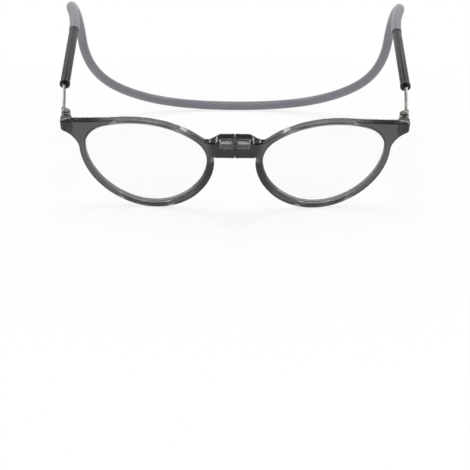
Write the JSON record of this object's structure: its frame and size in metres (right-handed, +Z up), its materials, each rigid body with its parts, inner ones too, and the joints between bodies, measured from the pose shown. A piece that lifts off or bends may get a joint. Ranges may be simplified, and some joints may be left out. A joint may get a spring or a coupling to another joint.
{
  "type": "magnetic bridge reading glasses",
  "caption": "Reading glasses that part at a magnetic bridge, with round lenses, sliding temples and a moulded band round the neck.",
  "frame": {"origin": "floor level under the middle of the bounding box, between the front and the back of the neck band", "axes": "+X towards the wearer's left, -Y out of the front, +Z up, with the rims and the back of the neck band lying on z = 0"},
  "size_m": [0.155, 0.1833, 0.0693],
  "materials": {
    "front_plastic": "smoky grey translucent, glossy",
    "lens_clear": "clear, coated",
    "magnet_metal": "nickel plated",
    "hinge_metal": "gunmetal satin",
    "sleeve_black": "near black, semi gloss",
    "bush_plastic": "natural, matte",
    "band_silicone": "matte"
  },
  "bodies": {
    "neck": {"neck_band_back": "band_silicone"},
    "left_band_side": {"left_neck_band_side": "band_silicone"},
    "left_arm": {"left_sleeve": "sleeve_black", "left_sleeve_collar": "sleeve_black", "left_friction_bush": "bush_plastic", "left_band_plug": "bush_plastic"},
    "left_temple": {"left_temple_blade": "hinge_metal", "left_rod_stop": "bush_plastic"},
    "left_front": {"left_front_rim": "front_plastic", "left_lens": "lens_clear", "left_bridge_magnet": "magnet_metal", "left_hinge_leaf": "hinge_metal", "left_hinge_screw": "hinge_metal"},
    "right_band_side": {"right_neck_band_side": "band_silicone"},
    "right_arm": {"right_sleeve": "sleeve_black", "right_sleeve_collar": "sleeve_black", "right_friction_bush": "bush_plastic", "right_band_plug": "bush_plastic"},
    "right_temple": {"right_temple_blade": "hinge_metal", "right_rod_stop": "bush_plastic"},
    "right_front": {"right_front_rim": "front_plastic", "right_lens": "lens_clear", "right_bridge_magnet": "magnet_metal", "right_hinge_leaf": "hinge_metal", "right_hinge_screw": "hinge_metal"}
  },
  "joints": [
    {"name": "left_spread", "type": "hinge", "parent": "neck", "child": "left_band_side", "pos_m": [0.06581, 0.06339, 0.02326], "axis": [0, -0.443, 0.8965], "range_deg": [0, 20], "stiffness_Nm_per_rad": 0.15, "deforming": ["left_neck_band_side"]},
    {"name": "left_band_give", "type": "hinge", "parent": "left_band_side", "child": "left_arm", "pos_m": [0.0708, -0.00133, 0.0644], "axis": [0, -0.443, 0.8965], "range_deg": [0, 21.6], "deforming": ["left_neck_band_side"]},
    {"name": "left_length", "type": "slide", "parent": "left_arm", "child": "left_temple", "axis": [0, -0.9421, -0.3354], "range_m": [0, 0.015]},
    {"name": "left_fold", "type": "hinge", "parent": "left_temple", "child": "left_front", "pos_m": [0.0682, -0.07189, 0.03929], "axis": [0, 0.3354, -0.9421], "range_deg": [0, 80]},
    {"name": "right_spread", "type": "hinge", "parent": "neck", "child": "right_band_side", "pos_m": [-0.06581, 0.06339, 0.02326], "axis": [0, 0.443, -0.8965], "range_deg": [0, 20], "stiffness_Nm_per_rad": 0.15, "deforming": ["right_neck_band_side"]},
    {"name": "right_band_give", "type": "hinge", "parent": "right_band_side", "child": "right_arm", "pos_m": [-0.0708, -0.00133, 0.0644], "axis": [0, 0.443, -0.8965], "range_deg": [0, 21.6], "deforming": ["right_neck_band_side"]},
    {"name": "right_length", "type": "slide", "parent": "right_arm", "child": "right_temple", "axis": [0, -0.9421, -0.3354], "range_m": [0, 0.015]},
    {"name": "right_fold", "type": "hinge", "parent": "right_temple", "child": "right_front", "pos_m": [-0.0682, -0.07189, 0.03929], "axis": [0, -0.3354, 0.9421], "range_deg": [0, 80]}
  ],
  "couplings": [
    {"joint": "left_band_give", "follows": "left_fold", "ratio": 0.27},
    {"joint": "right_band_give", "follows": "right_fold", "ratio": 0.27}
  ]
}
